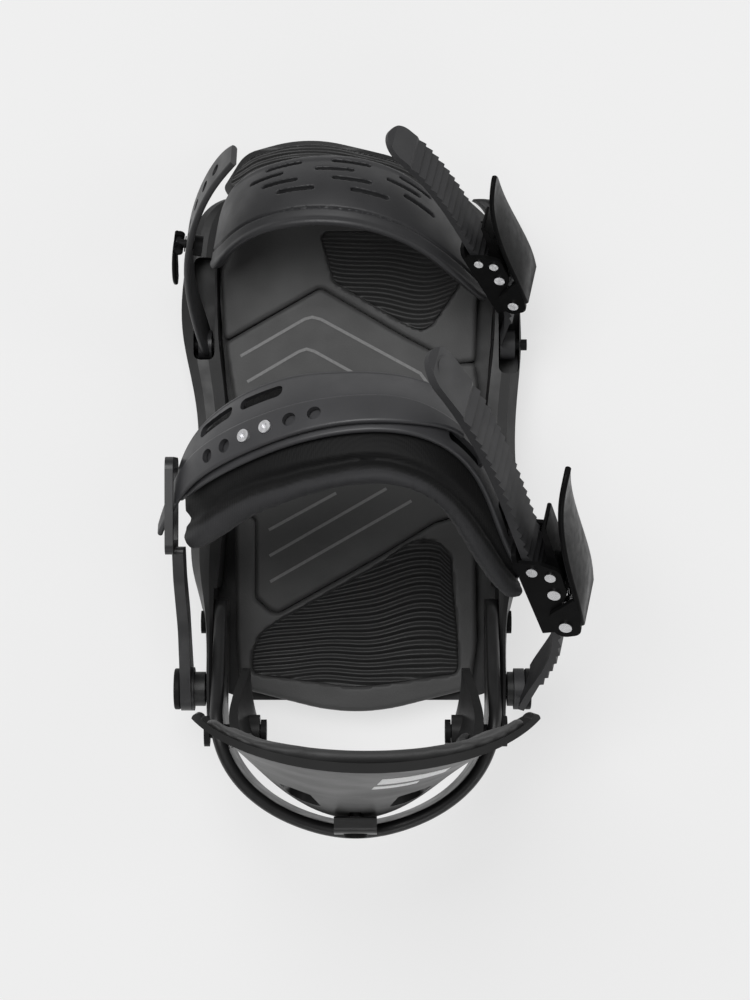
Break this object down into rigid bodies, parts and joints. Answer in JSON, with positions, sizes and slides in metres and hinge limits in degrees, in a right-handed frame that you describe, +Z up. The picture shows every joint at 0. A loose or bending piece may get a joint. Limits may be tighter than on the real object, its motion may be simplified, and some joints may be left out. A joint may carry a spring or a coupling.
{
  "type": "snowboard binding",
  "caption": "Snowboard strap binding with chassis, mounting disc, footbed, heelcup, folding highback, ankle and toe straps and ratchet buckles.",
  "frame": {"origin": "centre of the mounting disc, on the board's top face", "axes": "+Y towards the toe, +X towards the ladder side, +Z up from the board"},
  "size_m": [0.1832, 0.3048, 0.256],
  "materials": {
    "nylon": "moulded glass-filled nylon, fine grain",
    "footbed": "soft footbed foam skin",
    "grip": "ribbed soft insert",
    "foam": "closed-cell foam",
    "disc": "moulded nylon",
    "cup": "satin",
    "highback_shell": "glossy",
    "pad": "moulded foam",
    "strap": "satin urethane",
    "cap": "soft moulded urethane",
    "ladder": "satin urethane",
    "buckle": "black anodised",
    "steel": "plain",
    "dark_bolt": "black coated",
    "spring": "spring wire"
  },
  "bodies": {
    "chassis": {"baseplate": "nylon", "underpad_toe": "foam", "underpad_heel": "foam", "footbed_toe": "footbed", "toe_grip_pad": "grip", "footbed_heel": "footbed", "heel_grip_pad": "grip", "ramp_screws": "dark_bolt", "heelcup": "cup", "heelcup_screws": "dark_bolt", "heelcup_nuts": "dark_bolt", "ankle_pivot_bolts": "dark_bolt", "ankle_bushes": "nylon", "toe_anchor_pins": "dark_bolt", "highback_pivots": "dark_bolt"},
    "disc": {"mounting_disc": "disc"},
    "disc_cover": {"disc_cover": "footbed"},
    "toe_ramp": {"toe_ramp": "nylon", "toe_ramp_pad": "grip"},
    "highback": {"highback": "highback_shell", "highback_pad": "pad"},
    "lean_stop": {"lean_block": "cup", "lean_screw": "dark_bolt"},
    "ankle_strap": {"ankle_arm": "strap", "ankle_hole_band": "strap", "ankle_band_screws": "steel", "ankle_frame": "strap", "ankle_pad": "pad", "ankle_buckle_base": "buckle", "ankle_buckle_pins": "steel", "ankle_buckle_springs": "spring"},
    "ankle_lever": {"ankle_buckle_lever": "buckle"},
    "ankle_release": {"ankle_buckle_release": "buckle"},
    "ankle_ladder": {"ankle_ladder": "ladder"},
    "toe_strap": {"toe_hole_band": "strap", "toe_adjust_stud": "dark_bolt", "toe_cap": "cap", "toe_buckle_base": "buckle", "toe_buckle_pins": "steel", "toe_buckle_springs": "spring"},
    "toe_lever": {"toe_buckle_lever": "buckle"},
    "toe_release": {"toe_buckle_release": "buckle"},
    "toe_ladder": {"toe_ladder": "ladder"},
    "toe_adjuster": {"toe_adjust_lever": "buckle"}
  },
  "joints": [
    {"name": "disc_turn", "type": "hinge", "parent": "chassis", "child": "disc", "pos_m": [0, 0, 0], "axis": [0, 0, 1], "continuous": true},
    {"name": "disc_cover_lift", "type": "slide", "parent": "chassis", "child": "disc_cover", "axis": [0, 0, 1], "range_m": [0, 0.025]},
    {"name": "toe_ramp_slide", "type": "slide", "parent": "chassis", "child": "toe_ramp", "axis": [0, 1, 0], "range_m": [0, 0.012]},
    {"name": "highback_fold", "type": "hinge", "parent": "chassis", "child": "highback", "pos_m": [0, -0.135, 0.074], "axis": [-1, 0, 0], "range_deg": [0, 45]},
    {"name": "lean_stop_slide", "type": "slide", "parent": "highback", "child": "lean_stop", "axis": [0, 0.2062, 0.9785], "range_m": [0, 0.012]},
    {"name": "ankle_strap_swing", "type": "hinge", "parent": "chassis", "child": "ankle_strap", "pos_m": [0, -0.119, 0.045], "axis": [-1, 0, 0], "range_deg": [-6, 15]},
    {"name": "ankle_ladder_swing", "type": "hinge", "parent": "chassis", "child": "ankle_ladder", "pos_m": [0, -0.119, 0.045], "axis": [-1, 0, 0], "range_deg": [-6, 15]},
    {"name": "ankle_lever_lift", "type": "hinge", "parent": "ankle_strap", "child": "ankle_lever", "pos_m": [0.09015, -0.07797, 0.09787], "axis": [0.2004, 0.6956, -0.6899], "range_deg": [0, 60]},
    {"name": "ankle_release_lift", "type": "hinge", "parent": "ankle_strap", "child": "ankle_release", "pos_m": [0.08434, -0.0659, 0.10835], "axis": [0.2004, 0.6956, -0.6899], "range_deg": [0, 8]},
    {"name": "toe_strap_swing", "type": "hinge", "parent": "chassis", "child": "toe_strap", "pos_m": [0, 0.033, 0.019], "axis": [-1, 0, 0], "range_deg": [-5, 12]},
    {"name": "toe_ladder_swing", "type": "hinge", "parent": "chassis", "child": "toe_ladder", "pos_m": [0, 0.033, 0.019], "axis": [-1, 0, 0], "range_deg": [-5, 12]},
    {"name": "toe_lever_lift", "type": "hinge", "parent": "toe_strap", "child": "toe_lever", "pos_m": [0.07047, 0.05759, 0.05149], "axis": [0.1956, 0.7695, -0.6079], "range_deg": [0, 60]},
    {"name": "toe_release_lift", "type": "hinge", "parent": "toe_strap", "child": "toe_release", "pos_m": [0.06389, 0.06643, 0.06057], "axis": [0.1956, 0.7695, -0.6079], "range_deg": [0, 8]},
    {"name": "toe_adjuster_flip", "type": "hinge", "parent": "toe_strap", "child": "toe_adjuster", "pos_m": [-0.07575, 0.07366, 0.06953], "axis": [0.0561, 0.8004, -0.5968], "range_deg": [0, 60]}
  ],
  "couplings": [
    {"joint": "ankle_ladder_swing", "follows": "ankle_strap_swing", "ratio": 1},
    {"joint": "toe_ladder_swing", "follows": "toe_strap_swing", "ratio": 1}
  ]
}
